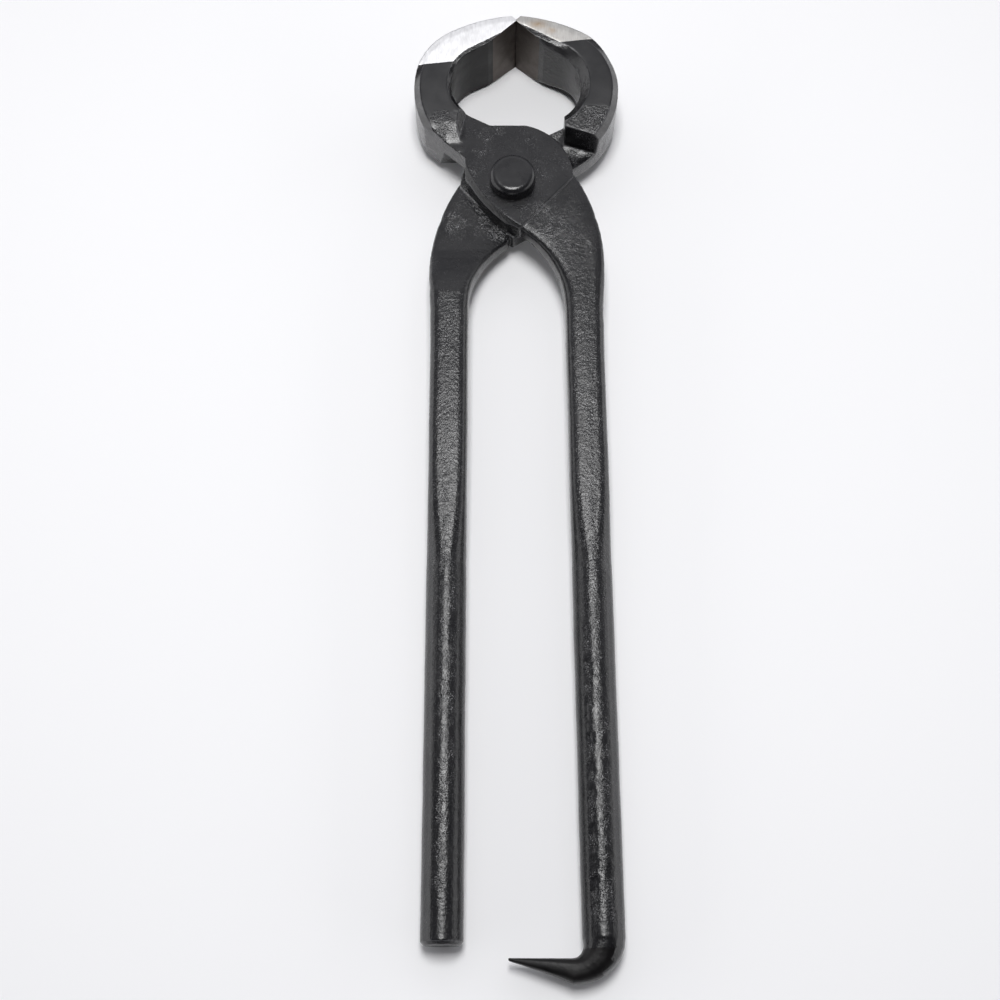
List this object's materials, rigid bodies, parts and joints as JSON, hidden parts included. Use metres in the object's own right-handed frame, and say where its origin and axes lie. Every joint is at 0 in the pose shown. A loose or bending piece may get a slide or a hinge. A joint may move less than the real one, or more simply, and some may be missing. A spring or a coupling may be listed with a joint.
{
  "type": "horseshoe puller",
  "caption": "Long-handled farrier's pincers with round hollow jaws for pulling horseshoes, and a tapered hoof pick at the end of one rein.",
  "frame": {"origin": "centre of the tool's plan, at the height of the lowest point of the jaws' back edges", "axes": "+Y along the tool towards the jaws, +Z along the rivet towards its front head, +X across the tool towards the rein with the pick"},
  "size_m": [0.0784, 0.3572, 0.0295],
  "materials": {
    "black_paint": "semi-gloss black over rough forged steel, jaw tips ground bare",
    "rivet_paint": "gloss black over smooth steel"
  },
  "bodies": {
    "plain_side": {"plain_half": "black_paint", "rivet": "rivet_paint"},
    "pick_side": {"pick_half": "black_paint"}
  },
  "joints": [
    {"name": "jaw_hinge", "type": "hinge", "parent": "plain_side", "child": "pick_side", "pos_m": [-0.0015, 0.10897, 0.01476], "axis": [0, 0, 1], "range_deg": [0, 45]}
  ]
}
